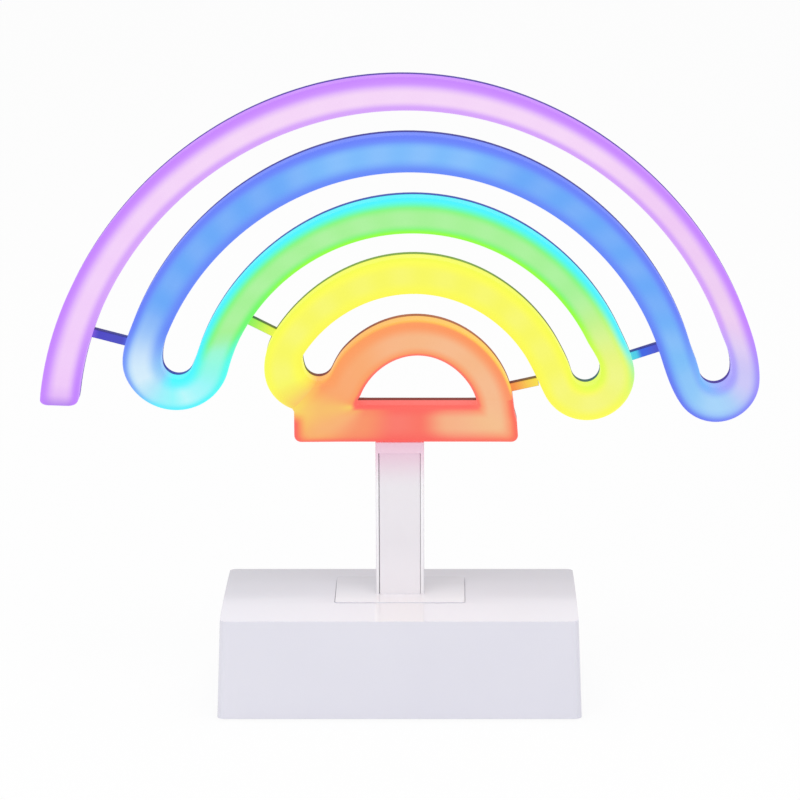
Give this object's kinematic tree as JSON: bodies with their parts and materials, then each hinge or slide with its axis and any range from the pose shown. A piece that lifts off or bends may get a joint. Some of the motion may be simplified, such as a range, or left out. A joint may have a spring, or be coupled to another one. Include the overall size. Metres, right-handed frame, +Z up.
{
  "type": "rainbow neon lamp",
  "caption": "Table lamp with a lit rainbow head of winding neon bands round a half-round window, on a short column and a wide battery base with a curved top.",
  "frame": {"origin": "on the table, under the middle of the lamp's bounding box", "axes": "+Z up, +X along the width of the rainbow towards the viewer's right, -Y towards the viewer, out of the lit front"},
  "size_m": [0.2878, 0.076, 0.2536],
  "materials": {
    "lit_purple": "milky moulding lit purple from inside",
    "lit_blue": "milky moulding lit blue from inside",
    "lit_green": "milky moulding lit green from inside",
    "lit_yellow": "milky moulding lit yellow from inside",
    "lit_orange": "milky moulding lit orange and red from inside",
    "cover_indigo": "satin, tinted by the light of the bands",
    "cover_brown": "satin, tinted by the light of the bar",
    "white_gloss": "glossy white",
    "panel_white": "glossy, slightly greyer white",
    "underside_white": "satin white",
    "foot_rubber": "pale grey, soft",
    "screw_steel": "zinc plated",
    "spring_steel": "bright nickel plated",
    "strip_white": "white solder mask",
    "wire_red": "smooth red insulation",
    "wire_black": "smooth black insulation",
    "cell_wrap": "printed sleeve without any mark",
    "board_green": "green solder mask",
    "chip_black": "moulded epoxy",
    "capacitor_sleeve": "shrunk sleeve",
    "header_ivory": "moulded connector",
    "inlet_steel": "drawn shell",
    "switch_black": "moulded case"
  },
  "bodies": {
    "lamp": {"shell_purple": "lit_purple", "shell_blue": "lit_blue", "shell_green": "lit_green", "shell_yellow": "lit_yellow", "shell_orange": "lit_orange", "rear_cover": "cover_indigo", "window_cover": "cover_brown", "cover_screws": "screw_steel", "light_strip": "strip_white", "chips_purple": "lit_purple", "chips_blue": "lit_blue", "chips_green": "lit_green", "chips_yellow": "lit_yellow", "chips_orange": "lit_orange", "head_plug": "white_gloss", "stand_column": "white_gloss", "column_panel": "panel_white", "foot_plate": "white_gloss", "plate_screws": "screw_steel", "stand_washer": "spring_steel", "stand_screws": "screw_steel", "lamp_lead_plus": "wire_red", "lamp_lead_minus": "wire_black", "base_housing": "white_gloss", "base_bottom": "underside_white", "bottom_screws": "screw_steel", "rubber_feet": "foot_rubber", "battery_cells": "cell_wrap", "battery_springs": "spring_steel", "battery_contacts": "spring_steel", "battery_lead_plus": "wire_red", "battery_lead_minus": "wire_black", "driver_board": "board_green", "board_screws": "screw_steel", "controller_chip": "chip_black", "smoothing_capacitor": "capacitor_sleeve", "resistors": "chip_black", "lead_header": "header_ivory", "power_inlet": "inlet_steel", "inlet_tongue": "chip_black", "switch_body": "switch_black"},
    "switch_knob": {"switch_knob": "white_gloss"},
    "battery_door": {"battery_door": "underside_white"}
  },
  "joints": [
    {"name": "switch_slide", "type": "slide", "parent": "lamp", "child": "switch_knob", "axis": [1, 0, 0], "range_m": [0, 0.003]},
    {"name": "battery_door_lift", "type": "slide", "parent": "lamp", "child": "battery_door", "axis": [0, 0, -1], "range_m": [0, 0.025]}
  ]
}
